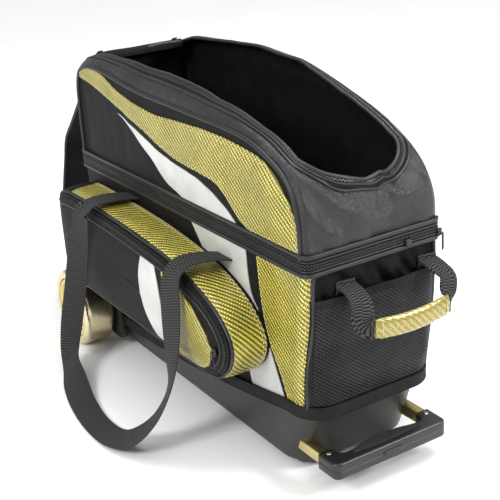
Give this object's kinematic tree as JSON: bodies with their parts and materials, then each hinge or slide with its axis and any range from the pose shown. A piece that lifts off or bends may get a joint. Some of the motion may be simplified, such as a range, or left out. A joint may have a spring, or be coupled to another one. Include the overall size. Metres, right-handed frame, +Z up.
{
  "type": "bowling ball bag",
  "caption": "Wheeled inline bowling bag with lift-up lid, open shoe compartment, side pockets, end mesh pouch, carry straps and telescoping tow handle.",
  "frame": {"origin": "centre of the bag's footprint on the floor, with the cover folded back and the tow handle in", "axes": "+X along the bag towards the tow handle, -Y the side with the patterned pocket, +Z up"},
  "size_m": [1.1635, 0.67, 0.6143],
  "materials": {
    "black_fabric": "woven polyester",
    "webbing": "ribbed webbing",
    "black_mesh": "coarse woven mesh",
    "lining": "smooth lining cloth",
    "black_vinyl": "satin vinyl",
    "gold_vinyl": "embossed diagonal rib, glossy",
    "zip_tape": "coil zip tape",
    "foam": "matte foam",
    "base_plastic": "fine moulded grain",
    "grip_plastic": "satin moulded",
    "grip_pad": "textured",
    "gold_tube": "gold anodised",
    "gold_chrome": "gold plated plastic, mirror",
    "gold_tread": "glossy gold",
    "steel": "machined",
    "zip_metal": "black lacquer"
  },
  "bodies": {
    "root": {"base_tray": "base_plastic", "skid_foot": "base_plastic", "hem_binding": "webbing", "lower_shell": "black_fabric", "ball_deck": "base_plastic", "mesh_pocket": "black_mesh", "lid_hinge_tape": "lining", "ball_cup_1": "foam", "ball_cup_2": "foam", "ball_cup_3": "foam", "ball_divider_1": "lining", "ball_divider_2": "lining", "zip_band_lower": "zip_tape", "main_slider": "zip_metal", "guide_channel_front": "base_plastic", "wheel_bracket_front": "base_plastic", "axle_front": "steel", "pocket_front": "black_fabric", "pocket_zip_front": "zip_tape", "pocket_slider_front": "zip_metal", "strap_wheel_anchor_front": "webbing", "strap_tow_anchor_front": "webbing", "guide_channel_back": "base_plastic", "wheel_bracket_back": "base_plastic", "axle_back": "steel", "pocket_back": "black_fabric", "pocket_zip_back": "zip_tape", "pocket_slider_back": "zip_metal", "strap_wheel_anchor_back": "webbing", "strap_tow_anchor_back": "webbing"},
    "lid": {"lid_shell": "black_vinyl", "zip_band_upper": "zip_tape", "opening_zip": "zip_tape", "shoe_tray": "lining"},
    "cover_1": {"cover_panel_1": "black_vinyl"},
    "cover_2": {"cover_panel_2": "black_vinyl"},
    "cover_3": {"cover_panel_3": "black_vinyl"},
    "wheel_front": {"wheel_tread_front": "gold_tread", "wheel_hub_front": "gold_chrome", "wheel_bearing_front": "steel"},
    "wheel_back": {"wheel_tread_back": "gold_tread", "wheel_hub_back": "gold_chrome", "wheel_bearing_back": "steel"},
    "tow_handle": {"tow_tube_front": "gold_tube", "tow_tube_back": "gold_tube", "tow_grip": "grip_plastic", "grip_insert": "grip_pad", "grip_screw_front": "steel", "grip_screw_back": "steel"},
    "button": {"tow_button": "grip_plastic"},
    "end_handle": {"end_handle_arm_front": "webbing", "end_handle_arm_back": "webbing", "end_handle_grip": "gold_vinyl"},
    "end_zip": {"end_slider": "zip_metal"},
    "main_zip_pull": {"main_pull": "zip_metal"},
    "strap_front": {"strap_loop_front": "webbing"},
    "strap_back": {"strap_loop_back": "webbing"},
    "front_zip_pull": {"pocket_pull_front": "zip_metal"},
    "back_zip_pull": {"pocket_pull_back": "zip_metal"}
  },
  "joints": [
    {"name": "lid_open", "type": "hinge", "parent": "root", "child": "lid", "pos_m": [0.1145, 0.1275, 0.386], "axis": [-1, 0, 0], "range_deg": [0, 90]},
    {"name": "cover_swing", "type": "hinge", "parent": "lid", "child": "cover_1", "pos_m": [-0.2205, 0, 0.606], "axis": [0, 1, 0], "range_deg": [0, 223]},
    {"name": "cover_fold_1", "type": "hinge", "parent": "cover_1", "child": "cover_2", "pos_m": [-0.44324, 0, 0.38326], "axis": [0, 1, 0], "range_deg": [0, 33]},
    {"name": "cover_fold_2", "type": "hinge", "parent": "cover_2", "child": "cover_3", "pos_m": [-0.50966, 0, 0.22678], "axis": [0, 1, 0], "range_deg": [0, 21]},
    {"name": "wheel_front_spin", "type": "hinge", "parent": "root", "child": "wheel_front", "pos_m": [-0.2575, -0.1685, 0.08], "axis": [0, 1, 0], "continuous": true},
    {"name": "wheel_back_spin", "type": "hinge", "parent": "root", "child": "wheel_back", "pos_m": [-0.2575, 0.1685, 0.08], "axis": [0, 1, 0], "continuous": true},
    {"name": "tow_handle_slide", "type": "slide", "parent": "root", "child": "tow_handle", "axis": [1, 0, 0], "range_m": [0, 0.25]},
    {"name": "tow_button_press", "type": "slide", "parent": "tow_handle", "child": "button", "axis": [-1, 0, 0], "range_m": [0, 0.0035], "stiffness_N_per_m": 400},
    {"name": "end_handle_lift", "type": "hinge", "parent": "root", "child": "end_handle", "pos_m": [0.507, 0.02, 0.34], "axis": [0, -1, 0], "range_deg": [0, 60]},
    {"name": "end_slider_slide", "type": "slide", "parent": "root", "child": "end_zip", "axis": [0, -1, 0], "range_m": [0, 0.07]},
    {"name": "main_pull_swing", "type": "hinge", "parent": "root", "child": "main_zip_pull", "pos_m": [0.50875, 0.12699, 0.378], "axis": [0.5878, -0.809, 0], "range_deg": [0, 120]},
    {"name": "strap_front_lift", "type": "hinge", "parent": "root", "child": "strap_front", "pos_m": [0.1145, -0.2105, 0.352], "axis": [-1, 0, 0], "range_deg": [0, 150]},
    {"name": "strap_back_lift", "type": "hinge", "parent": "root", "child": "strap_back", "pos_m": [0.1145, 0.2105, 0.352], "axis": [1, 0, 0], "range_deg": [0, 70]},
    {"name": "pocket_pull_front_swing", "type": "hinge", "parent": "root", "child": "front_zip_pull", "pos_m": [0.3575, -0.2128, 0.222], "axis": [-1, 0, 0], "range_deg": [0, 120]},
    {"name": "pocket_pull_back_swing", "type": "hinge", "parent": "root", "child": "back_zip_pull", "pos_m": [0.3575, 0.2128, 0.222], "axis": [1, 0, 0], "range_deg": [0, 120]}
  ],
  "couplings": [
    {"joint": "cover_fold_1", "follows": "cover_swing", "ratio": 0.1435},
    {"joint": "cover_fold_2", "follows": "cover_swing", "ratio": 0.089686}
  ]
}
